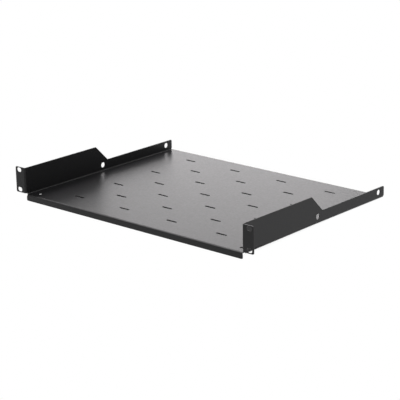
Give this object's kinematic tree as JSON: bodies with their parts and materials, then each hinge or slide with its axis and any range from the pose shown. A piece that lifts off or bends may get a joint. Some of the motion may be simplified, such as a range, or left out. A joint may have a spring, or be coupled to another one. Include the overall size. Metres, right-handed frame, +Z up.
{
  "type": "rack shelf",
  "caption": "Cantilever shelf for a server rack: one folded sheet with slotted base, stepped side walls, front lip and slotted ears.",
  "frame": {"origin": "middle of the four ear holes, on the rear faces of the ears, where they meet the rack's rails", "axes": "+X to the right seen from the front, +Y into the rack, +Z up"},
  "size_m": [0.4804, 0.3385, 0.0524],
  "materials": {
    "powder_coat": "black powder coat, satin, very fine texture"
  },
  "bodies": {
    "root": {"shelf": "powder_coat"}
  },
  "joints": []
}
